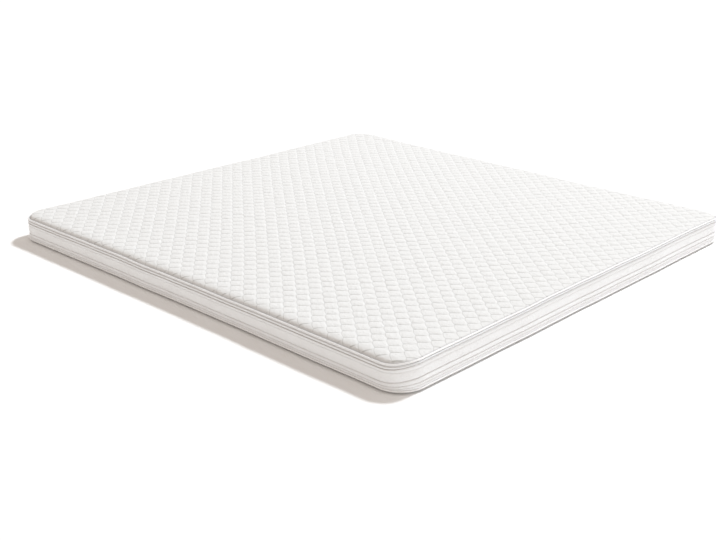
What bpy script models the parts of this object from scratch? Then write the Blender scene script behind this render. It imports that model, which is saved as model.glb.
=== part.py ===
"""A mattress topper lying flat: a filled pad with a quilted, softly crowned top, a sewn side band with five
padded channels, a round piping along the top edge and another along the bottom edge, and a plain bottom
panel. Metres, +Z up. The origin is the middle of the face that it rests on; X and Y run along the sides."""

import math

import bmesh
import bpy

# Driving dimensions
SIDE_X = 1.93
SIDE_Y = 2.03
CORNER_RADIUS = 0.092
DRAW_IN = 0.007  # how far the middle of each side is pulled in
GAP = 0.0003  # between pieces that touch

PIPING_RADIUS = 0.0063
PIPING_SIDES = 8
PIPING_HALF = PIPING_RADIUS * math.cos(math.pi / PIPING_SIDES)  # from its middle to its flat sides
FLOOR_CLEARANCE = 0.0006  # under the bottom piping
BOTTOM_PIPING_Z = FLOOR_CLEARANCE + PIPING_HALF
TOP_PIPING_Z = 0.093

# Insets are measured inwards from the widest outline.
BAND_INNER = 0.0047
PANEL_THICKNESS = 0.002
PANEL_INSET = 2 * PIPING_HALF + GAP

SEAM_Z = 0.0965  # where the top panel is sewn in behind the piping
ROLL_RISE = 0.0095  # of the top panel's rounded edge, above that seam
ROLL_WIDTH = 0.055
ROLL_SHARES = (0.05, 0.12, 0.25, 0.42, 0.65, 1.0)
CROWN_RISE = 0.0015  # from the end of the rounded edge to the middle
CROWN_INSETS = (0.11, 0.2, 0.35)
LEAST_RADIUS = 0.03  # of the crown's inner rings

# The band's sewn lines, bottom to top, as (height, inset), and the inset of the crest above each line
BAND_BOTTOM = BOTTOM_PIPING_Z + PIPING_HALF + GAP
BAND_TOP = TOP_PIPING_Z - PIPING_HALF - GAP
SEWN_LINES = (
    (BAND_BOTTOM, 0.003),
    (0.024, 0.0018),
    (0.031, 0.003),
    (0.063, 0.0018),
    (0.0745, 0.003),
    (BAND_TOP, 0.003),
)
CRESTS = (0.0012, 0.0004, 0.0, 0.0004, 0.0012)
CHANNEL_SHARES = (0.18, 0.5, 0.82)

# The third line is the uneven one: along the front side it runs higher, and its neighbours follow it.
UNEVEN_LINE = 2
UNEVEN_RISE = 0.011
STEADY_LINE = 4

CORNER_STEPS = 6
SIDE_STEPS = 6


def drawn_in(x, y):
    """Moves a point of the outline inwards, most at the middle of a side and not at all at a corner."""
    across = x / (SIDE_X / 2)
    along = y / (SIDE_Y / 2)
    pull_x = DRAW_IN * across**3 * (1 - along**2)
    pull_y = DRAW_IN * along**3 * (1 - across**2)
    return x - pull_x, y - pull_y


def outline(inset):
    """The points round the topper at that inset: four rounded corners, joined by drawn-in sides."""
    half_x = SIDE_X / 2 - inset
    half_y = SIDE_Y / 2 - inset
    radius = max(CORNER_RADIUS - inset, LEAST_RADIUS)
    points = []
    for quarter, (sign_x, sign_y) in enumerate(((1, 1), (-1, 1), (-1, -1), (1, -1))):
        for step in range(CORNER_STEPS + 1):
            angle = (quarter + step / CORNER_STEPS) * math.pi / 2
            x = sign_x * (half_x - radius) + radius * math.cos(angle)
            y = sign_y * (half_y - radius) + radius * math.sin(angle)
            points.append((x, y))
        along_x = quarter % 2 == 0
        run = 2 * ((half_x if along_x else half_y) - radius)
        last_x, last_y = points[-1]
        for step in range(1, SIDE_STEPS):
            far = run * step / SIDE_STEPS
            points.append((last_x - sign_y * far, last_y) if along_x else (last_x, last_y + sign_x * far))
    return [drawn_in(x, y) for x, y in points]


def front_share(x, y):
    """1 along the front side, 0 along the left one and further back, and between them round the corners."""
    from_side = SIDE_X / 2 - abs(x)
    from_front = SIDE_Y / 2 + y
    share = (from_side - from_front) / (from_side + from_front + CORNER_RADIUS)
    share = min(1.0, max(0.0, 0.5 + 0.8 * share))
    return share * share * (3 - 2 * share)


def uneven_height(x, y, height):
    """The height of the band's cloth there: the uneven line is lifted, and the cloth on both sides with it."""
    lowest = SEWN_LINES[0][0]
    lifted = SEWN_LINES[UNEVEN_LINE][0]
    highest = SEWN_LINES[STEADY_LINE][0]
    if height <= lifted:
        tent = (height - lowest) / (lifted - lowest)
    else:
        tent = (highest - height) / (highest - lifted)
    return height + UNEVEN_RISE * front_share(x, y) * max(0.0, tent)


def swept(name, profile, material, closed, place=None):
    """Sweeps a profile of (inset, height) points round the topper. The profile runs up the outer side. A closed
    one comes back down on the inner side and makes a hoop, and the two ends of an open one are filled."""
    mesh = bmesh.new()
    rings = []
    for inset, height in profile:
        points = [(x, y, place(x, y, height) if place else height) for x, y in outline(inset)]
        rings.append([mesh.verts.new(point) for point in points])
    pairs = list(zip(rings, rings[1:]))
    if closed:
        pairs.append((rings[-1], rings[0]))
    else:
        mesh.faces.new(rings[0][::-1])
        mesh.faces.new(rings[-1])
    for lower, upper in pairs:
        for step, corner in enumerate(lower):
            following = (step + 1) % len(lower)
            mesh.faces.new((corner, lower[following], upper[following], upper[step]))
    data = bpy.data.meshes.new(name)
    mesh.to_mesh(data)
    mesh.free()
    data.materials.append(material)
    data.shade_smooth()
    data.set_sharp_from_angle(angle=math.radians(50))
    piece = bpy.data.objects.new(name, data)
    bpy.context.scene.collection.objects.link(piece)
    return piece


def fabric(name, colour, roughness):
    material = bpy.data.materials.new(name)
    material.use_nodes = True
    shader = material.node_tree.nodes["Principled BSDF"]
    shader.inputs["Base Color"].default_value = (*colour, 1.0)
    shader.inputs["Roughness"].default_value = roughness
    shader.inputs["Metallic"].default_value = 0.0
    return material


def piping_profile(height):
    """The round section of a piping whose outer side lies on the widest outline, with flat sides to its
    neighbours."""
    turns = [2 * math.pi * (side + 0.5) / PIPING_SIDES for side in range(PIPING_SIDES)]
    return [
        (PIPING_HALF - PIPING_RADIUS * math.cos(turn), height + PIPING_RADIUS * math.sin(turn))
        for turn in turns
    ]


def band_profile():
    """The padded channels up the outer face, then straight down the inner face."""
    face = []
    for lower, upper, crest in zip(SEWN_LINES, SEWN_LINES[1:], CRESTS):
        face.append((lower[1], lower[0]))
        for share in CHANNEL_SHARES:
            valley = lower[1] + share * (upper[1] - lower[1])
            bulge = math.sqrt(math.sin(math.pi * share))
            face.append((valley + (crest - valley) * bulge, lower[0] + share * (upper[0] - lower[0])))
    top_height, top_inset = SEWN_LINES[-1]
    return face + [(top_inset, top_height), (BAND_INNER, top_height), (BAND_INNER, SEWN_LINES[0][0])]


def pad_profile():
    """The filled pad's side, which fits behind both pipings and the band, and its crowned top."""
    side = BAND_INNER + GAP
    behind = 2 * PIPING_HALF + GAP
    profile = [
        (behind, PANEL_THICKNESS + GAP),
        (behind, BAND_BOTTOM),
        (side, BAND_BOTTOM),
        (side, BAND_TOP),
        (behind, BAND_TOP),
        (behind, SEAM_Z),
    ]
    for share in ROLL_SHARES:
        rise = ROLL_RISE * (1 - (1 - share) ** 2.4)
        profile.append((behind + share * ROLL_WIDTH, SEAM_Z + rise))
    rolled = behind + ROLL_WIDTH
    middle = min(SIDE_X, SIDE_Y) / 2
    for inset in CROWN_INSETS:
        far = (inset - rolled) / (middle - rolled)
        profile.append((inset, SEAM_Z + ROLL_RISE + CROWN_RISE * (1 - (1 - far) ** 2)))
    return profile


def clear_scene():
    for item in list(bpy.data.objects):
        bpy.data.objects.remove(item, do_unlink=True)


def build():
    clear_scene()
    quilted = fabric("quilted_jersey", (0.86, 0.86, 0.85), 0.85)
    band = fabric("band_fabric", (0.84, 0.83, 0.82), 0.8)
    piping = fabric("piping_tape", (0.88, 0.87, 0.86), 0.7)
    underside = fabric("underside_jersey", (0.85, 0.85, 0.84), 0.85)
    swept("quilted_pad", pad_profile(), quilted, closed=False)
    swept("side_band", band_profile(), band, closed=True, place=uneven_height)
    swept("top_piping", piping_profile(TOP_PIPING_Z), piping, closed=True)
    swept("bottom_piping", piping_profile(BOTTOM_PIPING_Z), piping, closed=True)
    panel_profile = [(PANEL_INSET, 0.0), (PANEL_INSET, PANEL_THICKNESS)]
    swept("bottom_panel", panel_profile, underside, closed=False)


build()
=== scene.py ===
import math

import bmesh
import bpy
import numpy as np
from mathutils import Matrix, Vector


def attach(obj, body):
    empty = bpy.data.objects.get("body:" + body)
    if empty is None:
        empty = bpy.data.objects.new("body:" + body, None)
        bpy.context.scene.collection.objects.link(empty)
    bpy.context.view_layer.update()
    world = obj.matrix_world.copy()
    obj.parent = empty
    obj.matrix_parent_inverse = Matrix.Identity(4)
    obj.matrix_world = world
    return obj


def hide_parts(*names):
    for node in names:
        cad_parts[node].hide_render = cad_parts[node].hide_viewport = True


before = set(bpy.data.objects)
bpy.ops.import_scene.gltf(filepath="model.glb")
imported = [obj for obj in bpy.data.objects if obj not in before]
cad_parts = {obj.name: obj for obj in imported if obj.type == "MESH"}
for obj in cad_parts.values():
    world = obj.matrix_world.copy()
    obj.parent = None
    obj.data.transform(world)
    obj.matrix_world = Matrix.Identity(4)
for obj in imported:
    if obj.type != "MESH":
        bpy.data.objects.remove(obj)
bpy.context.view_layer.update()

# The topper's own sizes in metres. The front side differs a little from the solid's, and the seam is tighter.
topper = {
    "sideX": 1.93,
    "sideY": 2.03,
    "cornerRadius": 0.092,
    "drawIn": 0.007,  # how far the middles of three sides are pulled in
    "frontOut": 0.0028,  # the front side's lower edge stands out instead, evenly
    "frontLean": 0.5,  # of the draw-in, at the front side's upper edge
    "frontRise": 0.0125,  # the top edge lies this much higher along the front
    "frontTurn": 0.8,  # how quickly the left side's form turns into the front side's, round the corner
    "seamInset": 0.009,  # the top panel's seam, from the widest outline
    "seamZ": 0.094,
    "seamDip": 0.0035,  # the thread pulls the panel down this far, right at the seam
    "frontDip": 0.4,  # of that, along the front side
    "dipWidth": 0.0033,
    "rollRise": 0.012,  # the rounded edge above that seam, steep at first
    "rollWidth": 0.055,
    "rollPower": 5.2,
    "crownRise": 0.0015,
}
halfX = topper["sideX"] / 2
halfY = topper["sideY"] / 2

# Small waves that a soft pad's edge has: (waves round the topper, metres, phase)
edgeWaves = {
    "outwards": ((9, 0.0007, 0.4), (17, 0.0005, 2.1), (31, 0.0003, 5.0)),
    "upwards": ((7, 0.0006, 1.3), (15, 0.0005, 3.9), (27, 0.0003, 0.7)),
    "fade": 0.08,  # how far inwards they reach
}


def smoothStep(share):
    share = np.clip(share, 0, 1)
    return share * share * (3 - 2 * share)


# 1 where distance is 0, falling smoothly to next to nothing at twice the width
def bell(distance, width):
    return np.exp(-((distance / width) ** 2))


# How far a point lies inside the widest outline, and which way is outwards there
def insetOf(x, y):
    radius = topper["cornerRadius"]
    pastX = np.abs(x) - (halfX - radius)
    pastY = np.abs(y) - (halfY - radius)
    reach = np.hypot(np.maximum(pastX, 0), np.maximum(pastY, 0))
    inset = radius - reach - np.minimum(np.maximum(pastX, pastY), 0)
    sidewards = (pastX > pastY) & (np.minimum(pastX, pastY) <= 0)
    rounded = np.minimum(pastX, pastY) > 0
    safe = np.maximum(reach, 1e-9)
    outX = np.where(rounded, pastX / safe, np.where(sidewards, 1.0, 0.0)) * np.sign(x)
    outY = np.where(rounded, pastY / safe, np.where(sidewards, 0.0, 1.0)) * np.sign(y)
    return inset, outX, outY


# 1 along the front side, 0 along the left one and further back, and between them round the corners
def frontShare(x, y):
    fromSide, fromFront = halfX - np.abs(x), halfY + y
    share = (fromSide - fromFront) / (fromSide + fromFront + topper["cornerRadius"])
    return smoothStep(0.5 + topper["frontTurn"] * share)


# How much higher the cloth of that height lies along the front than along the other sides
def frontLift(x, y, height):
    return topper["frontRise"] * frontShare(x, y) * smoothStep(height / topper["seamZ"])


# Draws the middles of the sides in and adds the small waves of the edge, which fade towards the middle
def settle(points):
    x, y, z = points[:, 0], points[:, 1], points[:, 2]
    inset, outX, outY = insetOf(x, y)
    across, along = x / halfX, y / halfY
    around = np.arctan2(along, across)
    outwards = sum(size * np.sin(count * around + phase) for count, size, phase in edgeWaves["outwards"])
    upwards = sum(size * np.sin(count * around + phase) for count, size, phase in edgeWaves["upwards"])
    fade = bell(inset, edgeWaves["fade"])
    height = smoothStep(z / topper["seamZ"])
    drawn = topper["drawIn"] * (1 - across**2)
    lower = -topper["frontOut"] * (1 - across**8)
    pull = np.where(along > 0, drawn, height * topper["frontLean"] * drawn + (1 - height) * lower)
    settled = points.copy()
    settled[:, 0] += outX * outwards * fade - topper["drawIn"] * across**3 * (1 - along**2)
    settled[:, 1] += outY * outwards * fade - pull * along**3
    settled[:, 2] += upwards * fade * height
    return settled


# A rectangle of cloth: a grid laid where place(column, row) says, with a UV map and its painted shade in the
# grooves
def clothGrid(name, columns, rows, place):
    bm = bmesh.new()
    bmesh.ops.create_grid(bm, x_segments=columns, y_segments=rows, size=0.5)
    mesh = bpy.data.meshes.new(name)
    bm.to_mesh(mesh)
    bm.free()
    flat = np.empty(len(mesh.vertices) * 3)
    mesh.vertices.foreach_get("co", flat)
    flat = flat.reshape(-1, 3)
    column = np.rint((flat[:, 0] + 0.5) * columns).astype(int)
    row = np.rint((flat[:, 1] + 0.5) * rows).astype(int)
    points, uv, shade = place(column, row)
    mesh.vertices.foreach_set("co", points.ravel())
    groove = mesh.color_attributes.new("groove", "FLOAT_COLOR", "POINT")
    groove.data.foreach_set("color", np.repeat(shade, 4))
    loopVertex = np.empty(len(mesh.loops), int)
    mesh.loops.foreach_get("vertex_index", loopVertex)
    layer = mesh.uv_layers.new(name="cloth")
    layer.uv.foreach_set("vector", uv[loopVertex].ravel())
    bm = bmesh.new()
    bm.from_mesh(mesh)
    bpy.data.meshes.remove(mesh)
    return bm


def placesOf(verts):
    return np.array([vert.co for vert in verts])


def moveTo(verts, points):
    for vert, point in zip(verts, points):
        vert.co = point


def finishPiece(name, bm, material):
    bmesh.ops.recalc_face_normals(bm, faces=bm.faces)
    mesh = bpy.data.meshes.new(name)
    bm.to_mesh(mesh)
    bm.free()
    mesh.shade_smooth()
    mesh.materials.append(material)
    piece = bpy.data.objects.new(name, mesh)
    bpy.context.scene.collection.objects.link(piece)
    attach(piece, "root")
    print(f"{name}: {sum(len(face.vertices) - 2 for face in mesh.polygons)} triangles")
    return piece


# The linear values that Blender's colour sockets take, by the sRGB curve
def linear(hexColour):
    parts = [int(hexColour[start:start + 2], 16) / 255 for start in (0, 2, 4)]
    return [part / 12.92 if part <= 0.04045 else ((part + 0.055) / 1.055) ** 2.4 for part in parts] + [1.0]


# inputs holds a value or another node's output for each socket; settings are the node's own
def addNode(tree, kind, inputs=None, **settings):
    node = tree.nodes.new(kind)
    for name, value in settings.items():
        setattr(node, name, value)
    for socket, value in (inputs or {}).items():
        if isinstance(value, bpy.types.NodeSocket):
            tree.links.new(value, node.inputs[socket])
        else:
            node.inputs[socket].default_value = value
    return node


# What all the cloths share
fibre = {"refraction": 1.46, "sheenRoughness": 0.5}


def newCloth(name, settings):
    material = bpy.data.materials.new(name)
    material.use_nodes = True
    tree = material.node_tree
    shader = tree.nodes["Principled BSDF"]
    shader.inputs["Base Color"].default_value = linear(settings["colour"])
    shader.inputs["Roughness"].default_value = settings["roughness"]
    shader.inputs["IOR"].default_value = fibre["refraction"]
    shader.inputs["Sheen Weight"].default_value = settings["sheen"]
    shader.inputs["Sheen Roughness"].default_value = fibre["sheenRoughness"]
    return material, tree, shader


# Blender's wave bands repeat every 314.159 mm at scale 1, so this gives the scale for a real pitch
def waveScale(millimetres):
    return 314.159 / millimetres


quilt = {
    "columnWidth": 0.0417,
    "cellLength": 0.0445,
    "stagger": 0.0062,  # the bars of each column are set on by this much from the column before
    "slant": 50.1,  # degrees from the X side to the long sewn lines
    "bow": 0.0045,  # the long lines arch out this far between two bars
    "start": (-0.78615, -0.86611),  # one knot, where a bar leaves a long line
    # The lines bend a little: metres sideways and lengthways, for xx, xy, yy, xxx, xxy, xyy and yyy
    "wander": (
        (-0.0082, 0.021, -0.0109, 0.0126, 0.0203, 0.0009, -0.0044),
        (-0.0114, -0.0061, -0.0157, 0.0019, 0.003, 0.0001, -0.0007),
    ),
    "puff": 0.0036,
    "sunk": 0.7,  # the share of the puff that lies below the pad's plain surface
    "domeShare": 0.22,  # of a cell's height, which is domed; the rest is flat and cut by the sewn lines
    "domePowers": (0.5, 0.7),  # across and along
    "lineDepth": 0.11,
    "lineWidth": 0.08,  # the widths are shares of a column's width across, and of a cell's length along
    "barDepth": 0.48,
    "barWidth": 0.11,
    "knotDepth": 0.15,
    "knotWidths": (0.12, 0.14),
    "barReach": (0.6, 1.0),  # the bars grow shallow between these shares of a column
    "barFade": 0.6,
    "acrossStops": (0.0, 0.08, 0.27, 0.52, 0.77, 0.93),
    "alongStops": (0.0, 0.1, 0.27, 0.5, 0.73, 0.9),
    "rowShift": 2,  # a column's bars lie this many rows on from those of the column before
    "uneven": 0.18,
    "seed": 11,
    "randomSide": 400,  # of the square of random numbers that the cells' heights come from
    "spareCells": 2,  # of the grid on every side
    "spare": 0.012,  # the cloth that is left round the outline before it is cut
    "edgeRelief": 0.2,  # of the puff, right at the seam
    "edgeFade": 0.045,
    "rings": (0.009, 0.004, 0.0),  # extra rings of points, this far inside the seam
    "cornerCuts": 7,
    "cornerSpare": 0.02,  # the faces this far before the corner are cut too
    # The seam's painted shade is lighter along the front side, which faces the light
    "frontShade": 0.2,  # of the seam's shade, along the front side
    "weld": 0.00005,
    # The pad's side from the seam down: (inset, height)
    "sideSteps": ((0.009, 0.0845), (0.0055, 0.0845), (0.0055, 0.0136), (0.014, 0.0136), (0.014, 0.0023)),
}


# Viscose jersey knitted in one white yarn and quilted through wadding: soft, matt, with painted shade in the
# sewn lines and in the seam round the panel
def quiltedJersey():
    settings = {
        "colour": "E6E7E7",
        "roughness": 0.9,
        "sheen": 0.2,
        # The darker colour of the bars and long lines is painted shade for their grooves
        "seamShadeColour": "BDBDBB",
        # Painted shade in the seam round the panel
        "edgeShadeColour": "CAC8C7",  # in the seam round the panel
        "barWidth": 0.078,  # half the shaded width, of a cell's length
        "lineWidth": 0.05,  # the same for the long lines, of a column's width
        "lineShade": 0.62,
        "barEnds": (0.6, 0.95),  # a bar's shade fades between these shares of a column
        "barEndShade": 0.1,
        "loopPitch": 3.0,  # mm; the real loops are near 1 mm, too fine to show
        "loopBend": 1.5,
        "loopDetail": 1.0,
        "fuzz": 900,
        "loopBump": 0.25,
        "loopHeight": 0.0003,
        "puckers": 75,  # small tucks about 13 mm apart
        "puckerDetail": 3.0,
        "puckerRoughness": 0.6,
        "puckerBump": 0.9,
        "puckerHeight": 0.004,
    }
    material, tree, shader = newCloth("quilted_viscose_jersey", settings)
    uv = addNode(tree, "ShaderNodeUVMap", uv_map="cloth")
    cell = addNode(tree, "ShaderNodeSeparateXYZ", {"Vector": uv.outputs["UV"]})
    columnShare = addNode(tree, "ShaderNodeMath", {0: cell.outputs["X"]}, operation="FRACT")
    columnNumber = addNode(tree, "ShaderNodeMath", {0: cell.outputs["X"]}, operation="FLOOR")
    shift = quilt["rowShift"] / len(quilt["alongStops"])
    barPlace = addNode(tree, "ShaderNodeMath", {
        0: columnNumber.outputs[0], 1: -shift, 2: cell.outputs["Y"],
    }, operation="MULTIPLY_ADD")
    toBar = addNode(tree, "ShaderNodeMath", {0: barPlace.outputs[0], 1: 0.5}, operation="PINGPONG")
    toLine = addNode(tree, "ShaderNodeMath", {0: cell.outputs["X"], 1: 0.5}, operation="PINGPONG")
    bar = addNode(tree, "ShaderNodeMapRange", {
        "Value": toBar.outputs[0], "From Max": settings["barWidth"], "To Min": 1.0, "To Max": 0.0,
    }, interpolation_type="SMOOTHSTEP")
    reach = addNode(tree, "ShaderNodeMapRange", {
        "Value": columnShare.outputs[0],
        "From Min": settings["barEnds"][0], "From Max": settings["barEnds"][1],
        "To Min": 1.0, "To Max": settings["barEndShade"],
    }, interpolation_type="SMOOTHSTEP")
    line = addNode(tree, "ShaderNodeMapRange", {
        "Value": toLine.outputs[0], "From Max": settings["lineWidth"], "To Min": settings["lineShade"],
        "To Max": 0.0,
    }, interpolation_type="SMOOTHSTEP")
    reachedBar = addNode(tree, "ShaderNodeMath", {
        0: bar.outputs[0], 1: reach.outputs[0],
    }, operation="MULTIPLY")
    # Where the painted shade of the sewn lines falls
    seam = addNode(tree, "ShaderNodeMath", {
        0: line.outputs[0], 1: reachedBar.outputs[0],
    }, operation="MAXIMUM")
    colour = addNode(tree, "ShaderNodeMix", {
        0: seam.outputs[0], 6: linear(settings["colour"]), 7: linear(settings["seamShadeColour"]),
    }, data_type="RGBA")
    # The painted shade in the seam round the panel, from the groove attribute
    edge = addNode(tree, "ShaderNodeVertexColor", layer_name="groove")
    edged = addNode(tree, "ShaderNodeMix", {
        0: edge.outputs["Color"], 6: colour.outputs[2], 7: linear(settings["edgeShadeColour"]),
    }, data_type="RGBA")
    tree.links.new(edged.outputs[2], shader.inputs["Base Color"])
    place = addNode(tree, "ShaderNodeTexCoord")
    loops = addNode(tree, "ShaderNodeTexWave", {
        "Vector": place.outputs["Object"], "Scale": waveScale(settings["loopPitch"]),
        "Distortion": settings["loopBend"], "Detail": settings["loopDetail"],
    }, bands_direction="DIAGONAL")
    fuzz = addNode(tree, "ShaderNodeTexNoise", {"Vector": place.outputs["Object"], "Scale": settings["fuzz"]})
    puckers = addNode(tree, "ShaderNodeTexNoise", {
        "Vector": place.outputs["Object"], "Scale": settings["puckers"],
        "Detail": settings["puckerDetail"], "Roughness": settings["puckerRoughness"],
    })
    knit = addNode(tree, "ShaderNodeMath", {0: loops.outputs["Fac"], 1: fuzz.outputs["Fac"]}, operation="ADD")
    fine = addNode(tree, "ShaderNodeBump", {
        "Height": knit.outputs[0], "Strength": settings["loopBump"], "Distance": settings["loopHeight"],
    })
    soft = addNode(tree, "ShaderNodeBump", {
        "Height": puckers.outputs["Fac"], "Strength": settings["puckerBump"],
        "Distance": settings["puckerHeight"], "Normal": fine.outputs["Normal"],
    })
    tree.links.new(soft.outputs["Normal"], shader.inputs["Normal"])
    return material


# The height of the pad's plain top: the dip at the seam, the rounded edge and then the slight crown
def padSurface(fromSeam, front):
    past = np.clip(fromSeam / topper["rollWidth"], 0, 1)
    edge = topper["frontRise"] * front
    roll = edge + (topper["rollRise"] - edge) * (1 - (1 - past) ** topper["rollPower"])
    crownWidth = halfX - topper["seamInset"] - topper["rollWidth"]
    far = np.clip((fromSeam - topper["rollWidth"]) / crownWidth, 0, 1)
    dip = topper["seamDip"] * (1 - (1 - topper["frontDip"]) * front) * bell(fromSeam, topper["dipWidth"])
    return topper["seamZ"] - dip + roll + topper["crownRise"] * (1 - (1 - far) ** 2)


# The height of a puffed cell, for a place across its column and along it, both from 0 to 1
def cellRelief(across, along):
    toLine = np.minimum(across, 1 - across)
    toBar = np.minimum(along, 1 - along)
    start, end = quilt["barReach"]
    reach = 1 - quilt["barFade"] * smoothStep((across - start) / (end - start))
    line = quilt["lineDepth"] * bell(toLine, quilt["lineWidth"])
    bar = quilt["barDepth"] * bell(toBar, quilt["barWidth"]) * reach
    knotAcross, knotAlong = quilt["knotWidths"]
    knot = quilt["knotDepth"] * bell(across, knotAcross) * bell(toBar, knotAlong)
    powerAcross, powerAlong = quilt["domePowers"]
    dome = (4 * along * (1 - along)) ** powerAlong * (4 * across * (1 - across)) ** powerAcross
    return 1 - quilt["domeShare"] + quilt["domeShare"] * dome - line - bar - knot


def makeQuiltedPad(material):
    slant = math.radians(quilt["slant"])
    alongX, alongY = math.cos(slant), math.sin(slant)
    acrossX, acrossY = alongY, -alongX
    startX, startY = quilt["start"]
    width, length = quilt["columnWidth"], quilt["cellLength"]
    acrossStops, alongStops = np.array(quilt["acrossStops"]), np.array(quilt["alongStops"])
    rowCount, shift = len(alongStops), quilt["rowShift"]
    drift = quilt["stagger"] - shift / rowCount * length  # of a row of points, from one column to the next
    corners = [(x - startX, y - startY) for x in (-halfX, halfX) for y in (-halfY, halfY)]
    across = [(x * acrossX + y * acrossY) / width for x, y in corners]
    along = [(x * alongX + y * alongY - drift * c) / length for (x, y), c in zip(corners, across)]
    spareCells = quilt["spareCells"]
    firstColumn, lastColumn = math.floor(min(across)) - spareCells, math.ceil(max(across)) + spareCells
    firstRow, lastRow = math.floor(min(along)) - spareCells, math.ceil(max(along)) + spareCells
    randomSide = quilt["randomSide"]
    randomCells = np.random.RandomState(quilt["seed"])
    cellPuff = 1 + quilt["uneven"] * randomCells.uniform(-1, 1, (randomSide, randomSide))

    def placeOf(sideways, lengthways):
        x = startX + sideways * acrossX + lengthways * alongX
        y = startY + sideways * acrossY + lengthways * alongY
        return x, y

    # columnPlace and rowPlace count in columns and cells; acrossCell and alongCell are places inside one cell
    def place(column, row):
        columnNumber = firstColumn + column // len(acrossStops)
        acrossCell = acrossStops[column % len(acrossStops)]
        columnPlace = columnNumber + acrossCell
        inCell = (row - shift * columnNumber) % rowCount
        alongCell = np.where(acrossCell > 0, alongStops[inCell], inCell / rowCount)
        rowPlace = firstRow + row / rowCount + alongCell - inCell / rowCount
        alongNext = (rowPlace - shift / rowCount * (columnNumber + 1)) % 1
        arch = (1 - acrossCell) * alongCell * (1 - alongCell) + acrossCell * alongNext * (1 - alongNext)
        sideways = columnPlace * width - quilt["bow"] * 4 * arch
        lengthways = rowPlace * length + columnPlace * drift
        x, y = placeOf(sideways, lengthways)
        terms = (x * x, x * y, y * y, x**3, x * x * y, x * y * y, y**3)
        bends = [sum(size * term for size, term in zip(sizes, terms)) for sizes in quilt["wander"]]
        x, y = placeOf(sideways + bends[0], lengthways + bends[1])
        cellNumber = np.floor(rowPlace - shift / rowCount * columnNumber + 1e-6).astype(int)
        puff = cellPuff[columnNumber % randomSide, cellNumber % randomSide]
        relief = cellRelief(acrossCell, alongCell) * puff
        return np.stack([x, y, relief], 1), np.stack([columnPlace, rowPlace], 1), np.zeros(len(x))

    columns = (lastColumn - firstColumn) * len(acrossStops)
    bm = clothGrid("quiltGrid", columns, (lastRow - firstRow) * rowCount, place)
    lastX, lastY = halfX + quilt["spare"], halfY + quilt["spare"]
    outside = [v for v in bm.verts if abs(v.co.x) > lastX or abs(v.co.y) > lastY]
    bmesh.ops.delete(bm, geom=outside, context="VERTS")
    for ring in quilt["rings"]:
        cutRing(bm, topper["seamInset"] + ring, trim=ring == 0)
    bmesh.ops.remove_doubles(bm, verts=bm.verts, dist=quilt["weld"])
    layPanel(bm)
    closePad(bm)
    moveTo(bm.verts, settle(placesOf(bm.verts)))
    pad = finishPiece("quiltedPad", bm, material)
    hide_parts("quilted_pad")


# Cuts the panel along its four straight sides, and then round each corner in short straight cuts
def cutRing(bm, inset, trim):
    reachX, reachY = halfX - inset, halfY - inset
    radius = topper["cornerRadius"] - inset
    spare = quilt["cornerSpare"]
    for outX, outY, reach in ((1, 0, reachX), (-1, 0, reachX), (0, 1, reachY), (0, -1, reachY)):
        out = Vector((outX, outY, 0))
        geometry = bm.verts[:] + bm.edges[:] + bm.faces[:]
        bmesh.ops.bisect_plane(bm, geom=geometry, plane_co=out * reach, plane_no=out, clear_outer=trim)
    for signX in (-1, 1):
        for signY in (-1, 1):
            centre = Vector((signX * (reachX - radius), signY * (reachY - radius), 0))
            faces = [f for f in bm.faces if all(
                signX * (v.co.x - centre.x) > -spare and signY * (v.co.y - centre.y) > -spare
                for v in f.verts)]
            for cut in range(quilt["cornerCuts"]):
                turn = (cut + 0.5) / quilt["cornerCuts"] * math.pi / 2
                out = Vector((signX * math.cos(turn), signY * math.sin(turn), 0))
                edges = list(dict.fromkeys(e for f in faces for e in f.edges))
                verts = list(dict.fromkeys(v for f in faces for v in f.verts))
                result = bmesh.ops.bisect_plane(
                    bm, geom=verts + edges + faces, plane_co=centre + out * radius, plane_no=out,
                    clear_outer=trim)
                faces = [part for part in result["geom"] if isinstance(part, bmesh.types.BMFace)]


# Lays the flat quilting on the pad, with its relief fading and its painted shade growing towards the seam
def layPanel(bm):
    points = placesOf(bm.verts)
    fromSeam = insetOf(points[:, 0], points[:, 1])[0] - topper["seamInset"]
    relief = quilt["edgeRelief"] + (1 - quilt["edgeRelief"]) * smoothStep(fromSeam / quilt["edgeFade"])
    front = frontShare(points[:, 0], points[:, 1])
    plain = padSurface(fromSeam, front)
    points[:, 2] = plain + quilt["puff"] * (points[:, 2] - quilt["sunk"]) * relief
    moveTo(bm.verts, points)
    # The painted seam shade, lighter along the lit front side
    groove = bm.verts.layers.float_color["groove"]
    shades = (1 - (1 - quilt["frontShade"]) * front) * bell(fromSeam, topper["dipWidth"])
    for vert, shade in zip(bm.verts, shades):
        vert[groove] = (shade, shade, shade, 1)


# The pad's sides behind the pipings and the band, and its plain underside; the sides keep the rim's painted
# seam shade
def closePad(bm):
    rim = [e for e in bm.edges if e.is_boundary]
    for newInset, height in quilt["sideSteps"]:
        made = bmesh.ops.extrude_edge_only(bm, edges=rim)["geom"]
        rim = [part for part in made if isinstance(part, bmesh.types.BMEdge) and part.is_boundary]
        verts = [part for part in made if isinstance(part, bmesh.types.BMVert)]
        points = placesOf(verts)
        inset, outX, outY = insetOf(points[:, 0], points[:, 1])
        points[:, 0] += outX * (inset - newInset)
        points[:, 1] += outY * (inset - newInset)
        points[:, 2] = height + frontLift(points[:, 0], points[:, 1], height)
        moveTo(verts, points)
    bmesh.ops.contextual_create(bm, geom=rim)


hoop = {"sideSteps": 280, "cornerSteps": 22, "weld": 0.00001}


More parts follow.
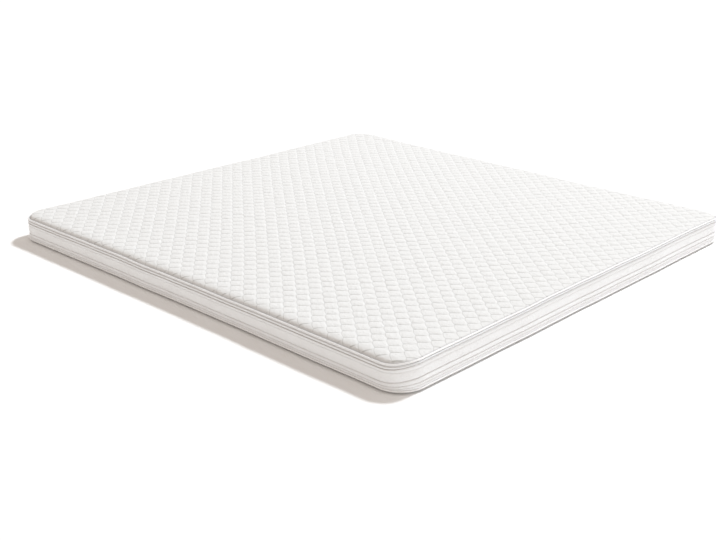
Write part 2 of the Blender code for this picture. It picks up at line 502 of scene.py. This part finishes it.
# Points of the widest outline, anticlockwise, with the way outwards and the distance round
def edgePath():
    radius = topper["cornerRadius"]
    x, y, outX, outY = [], [], [], []
    for quarter, (signX, signY) in enumerate(((1, 1), (-1, 1), (-1, -1), (1, -1))):
        turn = (quarter + np.arange(hoop["cornerSteps"]) / hoop["cornerSteps"]) * math.pi / 2
        x += list(signX * (halfX - radius) + radius * np.cos(turn))
        y += list(signY * (halfY - radius) + radius * np.sin(turn))
        outX += list(np.cos(turn))
        outY += list(np.sin(turn))
        facing = (quarter + 1) * math.pi / 2
        run = 2 * ((halfX if quarter % 2 == 0 else halfY) - radius)
        far = run * np.arange(hoop["sideSteps"]) / hoop["sideSteps"]
        startX = signX * (halfX - radius) + radius * math.cos(facing)
        startY = signY * (halfY - radius) + radius * math.sin(facing)
        x += list(startX - far * math.sin(facing))
        y += list(startY + far * math.cos(facing))
        outX += [math.cos(facing)] * len(far)
        outY += [math.sin(facing)] * len(far)
    x, y, outX, outY = (np.array(values + values[:1]) for values in (x, y, outX, outY))
    around = np.concatenate([[0.0], np.cumsum(np.hypot(np.diff(x), np.diff(y)))])
    return x, y, outX, outY, around


# profile is a closed loop of (inset, height) that runs up the outer side; detail moves and shades each point
def makeHoop(name, profile, material, detail):
    x, y, outX, outY, around = edgePath()
    profile = np.array(profile + profile[:1])
    up = np.concatenate([[0.0], np.cumsum(np.hypot(*np.diff(profile, axis=0).T))])

    def place(column, row):
        inset, height, shade = detail(x[column], y[column], around[column], row, *profile[row].T)
        points = np.stack([x[column] - outX[column] * inset, y[column] - outY[column] * inset, height], 1)
        return settle(points), np.stack([around[column], up[row]], 1), shade

    bm = clothGrid(name + "Grid", len(x) - 1, len(profile) - 1, place)
    bmesh.ops.remove_doubles(bm, verts=bm.verts, dist=hoop["weld"])
    return finishPiece(name, bm, material)


# The band's sewn lines, bottom to top: height, inset, and how much painted shade on the left side and on the
# front side
band = {
    "lines": (
        (0.0134, 0.0022, 0.0, 0.0),
        (0.0152, 0.0026, 0.25, 0.25),
        (0.0212, 0.0026, 0.4, 0.45),
        (0.0325, 0.0034, 0.4, 0.5),
        (0.0645, 0.0018, 0.4, 0.25),
        (0.0742, 0.004, 1.0, 0.5),
        (0.0832, 0.0038, 0.9, 0.0),
        (0.0858, 0.0026, 0.3, 0.0),
    ),
    "shadeWidth": 0.0016,
    "crests": (0.0018, 0.001, 0.0002, 0.0, 0.0001, 0.001, 0.002),  # insets between the lines
    "shares": (0.0, 0.06, 0.15, 0.3, 0.5, 0.7, 0.85, 0.94),
    "roundness": 0.42,
    "innerInset": 0.0052,
    "unevenLine": 3,  # this line runs higher along the front side
    "unevenRise": 0.0118,
    "unevenPower": 0.3,  # the lines under it rise nearly as much
    "steadyLine": 5,
    "upperRise": 0.0055,  # of the steady line, along the front side
    "frontFill": 0.0034,  # above it the front side's cloth fills out under the piping
    "puckerPitch": 0.026,
    "pucker": 0.0003,
    "puckerFlat": 0.4,  # of it shows on the crests, and all of it and more in the sewn lines
    "puckerSway": (2.3, 5.3, 90),  # radians of wandering, its rate round the edge, radians a metre upwards
    "innerSpare": 0.0005,  # points this near the inner face stay where they are
}


# Knitted polyester border: fine upright ribs, a slight gloss, and painted shade in the sewn lines
def ribbedBorder():
    settings = {
        "colour": "F2F4F6",
        "roughness": 0.78,
        "sheen": 0.15,
        # The darker colour in the sewn lines is painted shade
        "grooveShadeColour": "B9B5B2",
        "ribPitch": 4.0,  # mm
        "ribBend": 0.6,
        "ribDetail": 1.0,
        "ribBump": 0.5,
        "ribHeight": 0.0006,
        "coursePitch": 3.2,
        "flecks": 160,  # about 6 mm apart
        "fleckDetail": 2.0,
        "fleckBump": 0.9,
        "fleckHeight": 0.003,
    }
    material, tree, shader = newCloth("knitted_polyester_border", settings)
    uv = addNode(tree, "ShaderNodeUVMap", uv_map="cloth")
    ribs = addNode(tree, "ShaderNodeTexWave", {
        "Vector": uv.outputs["UV"], "Scale": waveScale(settings["ribPitch"]),
        "Distortion": settings["ribBend"], "Detail": settings["ribDetail"],
    }, bands_direction="X")
    courses = addNode(tree, "ShaderNodeTexWave", {
        "Vector": uv.outputs["UV"], "Scale": waveScale(settings["coursePitch"]),
        "Distortion": settings["ribBend"],
    }, bands_direction="Y")
    weave = addNode(tree, "ShaderNodeMath", {
        0: ribs.outputs["Fac"], 1: courses.outputs["Fac"],
    }, operation="MULTIPLY")
    shade = addNode(tree, "ShaderNodeVertexColor", layer_name="groove")
    colour = addNode(tree, "ShaderNodeMix", {
        0: shade.outputs["Color"], 6: linear(settings["colour"]), 7: linear(settings["grooveShadeColour"]),
    }, data_type="RGBA")
    tree.links.new(colour.outputs[2], shader.inputs["Base Color"])
    flecks = addNode(tree, "ShaderNodeTexNoise", {
        "Vector": uv.outputs["UV"], "Scale": settings["flecks"], "Detail": settings["fleckDetail"],
    })
    fine = addNode(tree, "ShaderNodeBump", {
        "Height": weave.outputs[0], "Strength": settings["ribBump"], "Distance": settings["ribHeight"],
    })
    soft = addNode(tree, "ShaderNodeBump", {
        "Height": flecks.outputs["Fac"], "Strength": settings["fleckBump"],
        "Distance": settings["fleckHeight"], "Normal": fine.outputs["Normal"],
    })
    tree.links.new(soft.outputs["Normal"], shader.inputs["Normal"])
    return material


def makeBand(material):
    lines, rows, inner = band["lines"], [], band["innerInset"]
    for lower, upper, crest in zip(lines, lines[1:], band["crests"]):
        for share in band["shares"]:
            height, valley = (a + share * (b - a) for a, b in zip(lower[:2], upper[:2]))
            bulge = math.sin(math.pi * share) ** band["roundness"]
            rows.append((valley + (crest - valley) * bulge, height))
    lowest, lifted, steady = (lines[number][0] for number in (0, band["unevenLine"], band["steadyLine"]))
    wideStart, underPiping, highest = lines[band["steadyLine"] - 1][0], lines[-2][0], lines[-1][0]
    rows += [(lines[-1][1], highest), (inner, highest), (inner, lowest)]
    heights = np.array(rows + rows[:1])[:, 1:]
    # The painted shade of each row, on the left side and on the front side
    shades = sum(bell(heights - line[0], band["shadeWidth"]) * line[2:] for line in lines)
    swaySize, swayRate, slant = band["puckerSway"]

    def detail(x, y, around, row, inset, height):
        front = frontShare(x, y)
        under = np.clip((height - lowest) / (lifted - lowest), 0, 1) ** band["unevenPower"]
        tent = np.clip(np.minimum(under, (steady - height) / (steady - lifted)), 0, 1)
        past = (height - steady) / (underPiping - steady)
        upper = np.clip(np.minimum((height - wideStart) / (steady - wideStart), 1 - past), 0, 1)
        rise = front * (band["unevenRise"] * tent + band["upperRise"] * upper)
        filled = band["frontFill"] * front * smoothStep(past)
        turns = around / band["puckerPitch"]
        wave = np.sin(2 * math.pi * turns + swaySize * np.sin(around * swayRate) + height * slant)
        outer = inset < inner - band["innerSpare"]
        shade = np.minimum(1, shades[row, 0] * (1 - front) + shades[row, 1] * front)
        tuck = band["pucker"] * (1 + wave) * (band["puckerFlat"] + shade)
        inset = inset + outer * (tuck - filled)
        return inset, height + rise + frontLift(x, y, height), shade

    made = makeHoop("sideBand", rows, material, detail)
    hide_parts("side_band")


piping = {
    "radius": 0.0033,
    "insetMiddle": 0.0035,
    "topZ": 0.0898,
    "bottomZ": 0.0098,
    "sides": 14,
    "gatherPitch": 0.019,  # the tape tightens round the cord about this often
    "gather": 0.00018,
    "gatherSway": (1.7, 9),  # radians of wandering, and its rate round the edge
}


# Bias-cut satin tape sewn round a cord: brighter and smoother than the border, with slanting threads
def satinTape():
    settings = {
        "colour": "F2F3F4",
        "roughness": 0.5,
        "sheen": 0.1,
        "threadPitch": 2.5,  # mm
        "threadBend": 0.3,
        "threadBump": 0.3,
        "threadHeight": 0.0003,
    }
    material, tree, shader = newCloth("polyester_satin_tape", settings)
    uv = addNode(tree, "ShaderNodeUVMap", uv_map="cloth")
    threads = addNode(tree, "ShaderNodeTexWave", {
        "Vector": uv.outputs["UV"], "Scale": waveScale(settings["threadPitch"]),
        "Distortion": settings["threadBend"],
    }, bands_direction="DIAGONAL")
    bump = addNode(tree, "ShaderNodeBump", {
        "Height": threads.outputs["Fac"], "Strength": settings["threadBump"],
        "Distance": settings["threadHeight"],
    })
    tree.links.new(bump.outputs["Normal"], shader.inputs["Normal"])
    return material


def makePiping(name, middleZ, material, node):
    turns = [2 * math.pi * side / piping["sides"] for side in range(piping["sides"])]
    radius, middle = piping["radius"], piping["insetMiddle"]
    swaySize, swayRate = piping["gatherSway"]
    profile = [(middle - radius * math.cos(turn), middleZ + radius * math.sin(turn)) for turn in turns]

    def detail(x, y, around, row, inset, height):
        wave = np.sin(2 * math.pi * around / piping["gatherPitch"] + swaySize * np.sin(around * swayRate))
        tighter = 1 - piping["gather"] / radius * (1 + wave)
        raised = middleZ + frontLift(x, y, middleZ) + (height - middleZ) * tighter
        return middle + (inset - middle) * tighter, raised, np.zeros(len(x))

    made = makeHoop(name, profile, material, detail)
    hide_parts(node)


underside = {
    "inset": 0.014,
    "thickness": 0.002,
    "every": 4,  # it takes every fourth point of the outline
    "softEdge": 0.0007,
    "softSteps": 2,
    "sharpAngle": 60,
}


# Plain polyester jersey, unquilted, a little duller than the top
def plainJersey():
    settings = {
        "colour": "E9E9E7",
        "roughness": 0.88,
        "sheen": 0.15,
        "loopPitch": 3.0,  # mm
        "loopBend": 1.0,
        "loopBump": 0.3,
        "loopHeight": 0.0004,
    }
    material, tree, shader = newCloth("plain_polyester_jersey", settings)
    place = addNode(tree, "ShaderNodeTexCoord")
    loops = addNode(tree, "ShaderNodeTexWave", {
        "Vector": place.outputs["Object"], "Scale": waveScale(settings["loopPitch"]),
        "Distortion": settings["loopBend"],
    }, bands_direction="DIAGONAL")
    bump = addNode(tree, "ShaderNodeBump", {
        "Height": loops.outputs["Fac"], "Strength": settings["loopBump"], "Distance": settings["loopHeight"],
    })
    tree.links.new(bump.outputs["Normal"], shader.inputs["Normal"])
    return material


def makeBottomPanel(material):
    inset, thickness = underside["inset"], underside["thickness"]
    x, y, outX, outY, _ = (values[:-1:underside["every"]] for values in edgePath())
    bm = bmesh.new()
    bmesh.ops.create_circle(bm, cap_ends=True, segments=len(x), radius=1)
    rim = sorted(bm.verts, key=lambda v: math.atan2(v.co.y, v.co.x) % (2 * math.pi))
    order = np.argsort(np.arctan2(y, x) % (2 * math.pi))
    moveTo(rim, np.stack([x - outX * inset, y - outY * inset, 0 * x], 1)[order])
    raised = bmesh.ops.extrude_face_region(bm, geom=bm.faces[:])["geom"]
    top = [part for part in raised if isinstance(part, bmesh.types.BMVert)]
    bmesh.ops.translate(bm, verts=top, vec=(0, 0, thickness))
    bmesh.ops.recalc_face_normals(bm, faces=bm.faces)
    low = [e for e in bm.edges if all(v.co.z < thickness / 2 for v in e.verts)]
    bmesh.ops.bevel(
        bm, geom=low, offset=underside["softEdge"], offset_type="OFFSET", segments=underside["softSteps"],
        profile=0.5, affect="EDGES", material=-1)
    moveTo(bm.verts, settle(placesOf(bm.verts)))
    panel = finishPiece("bottomPanel", bm, material)
    panel.data.set_sharp_from_angle(angle=math.radians(underside["sharpAngle"]))
    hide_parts("bottom_panel")


studio = {
    "floorColour": "FEFEFE",
    "floorSize": 160,  # so wide that the photo's view doesn't reach its far edge
    "cameraPlace": (-3.0131, -2.8424, 1.4335),
    "cameraHeading": 41.92,  # degrees from +X to the view's direction
    "cameraDown": 20.73,
    "cameraRoll": 0.61,
    "cameraLens": 55.18,
    "cameraShift": -0.0587,
    "cameraReach": 400,
    "keyElevation": 54,
    "keyHeading": 172,  # it shines towards -X
    "keyFar": 20,
    "keySize": 3,
    "keyPower": 2950,
    "keyColour": (1.0, 1.06, 1.11),
    "fillElevation": 12,
    "fillHeading": 124,
    "fillFar": 5,  # a sun's distance changes nothing
    "fillAngle": 60,
    "fillStrength": 0.32,
    "fillColour": (1.0, 1.08, 1.15),
    "skyLow": 1.23,  # at the horizon
    "skyHigh": 0.47,
    "skyTop": 0.6,  # from this height up, as a share of the way to straight above
    "skyColour": (1.0, 0.9, 0.82, 1.0),
}


# The way that a lamp shines or the camera looks, from degrees above the floor and round from +X
def shineDirection(elevation, heading):
    up, turn = math.radians(elevation), math.radians(heading)
    return Vector((math.cos(turn) * math.cos(up), math.sin(turn) * math.cos(up), -math.sin(up)))


# A wide sheet of matt white paper
def makeFloor():
    bm = bmesh.new()
    bmesh.ops.create_grid(bm, x_segments=1, y_segments=1, size=studio["floorSize"] / 2)
    mesh = bpy.data.meshes.new("floor")
    bm.to_mesh(mesh)
    bm.free()
    floor = bpy.data.objects.new("floor", mesh)
    bpy.context.scene.collection.objects.link(floor)
    paper = bpy.data.materials.new("white_paper")
    paper.use_nodes = True
    paperShader = paper.node_tree.nodes["Principled BSDF"]
    paperShader.inputs["Base Color"].default_value = linear(studio["floorColour"])
    paperShader.inputs["Roughness"].default_value = 1.0
    paperShader.inputs["Specular IOR Level"].default_value = 0.0
    mesh.materials.append(paper)


def makeLights():
    key = bpy.data.lights.new("key", "AREA")
    key.shape = "DISK"
    key.size = studio["keySize"]
    key.energy = studio["keyPower"]
    key.color = studio["keyColour"]
    fill = bpy.data.lights.new("fill", "SUN")
    fill.energy = studio["fillStrength"]
    fill.angle = math.radians(studio["fillAngle"])
    fill.color = studio["fillColour"]
    for light in (key, fill):
        shines = shineDirection(studio[light.name + "Elevation"], studio[light.name + "Heading"])
        lamp = bpy.data.objects.new(light.name, light)
        lamp.rotation_euler = shines.to_track_quat("-Z", "Y").to_euler()
        lamp.location = -studio[light.name + "Far"] * shines
        bpy.context.scene.collection.objects.link(lamp)
    world = bpy.data.worlds.new("paleStudio")
    bpy.context.scene.world = world
    world.use_nodes = True
    tree = world.node_tree
    place = addNode(tree, "ShaderNodeTexCoord")
    height = addNode(tree, "ShaderNodeSeparateXYZ", {"Vector": place.outputs["Generated"]})
    strength = addNode(tree, "ShaderNodeMapRange", {
        "Value": height.outputs["Z"], "From Max": studio["skyTop"],
        "To Min": studio["skyLow"], "To Max": studio["skyHigh"],
    })
    sky = tree.nodes["Background"]
    sky.inputs["Color"].default_value = studio["skyColour"]
    tree.links.new(strength.outputs[0], sky.inputs["Strength"])


def makeCamera():
    scene = bpy.context.scene
    scene.view_settings.view_transform = "Standard"
    camera = bpy.data.cameras.new("camera")
    camera.lens = studio["cameraLens"]
    camera.shift_x = studio["cameraShift"]
    camera.clip_end = studio["cameraReach"]
    viewer = bpy.data.objects.new("camera", camera)
    looks = shineDirection(studio["cameraDown"], studio["cameraHeading"])
    roll = Matrix.Rotation(math.radians(studio["cameraRoll"]), 3, "Z")
    viewer.rotation_euler = (looks.to_track_quat("-Z", "Y").to_matrix() @ roll).to_euler()
    viewer.location = studio["cameraPlace"]
    scene.collection.objects.link(viewer)
    scene.camera = viewer


makeFloor()
makeLights()
makeCamera()
print("studio ready")
makeQuiltedPad(quiltedJersey())
makeBand(ribbedBorder())
tape = satinTape()
makePiping("topPiping", piping["topZ"], tape, "top_piping")
makePiping("bottomPiping", piping["bottomZ"], tape, "bottom_piping")
makeBottomPanel(plainJersey())
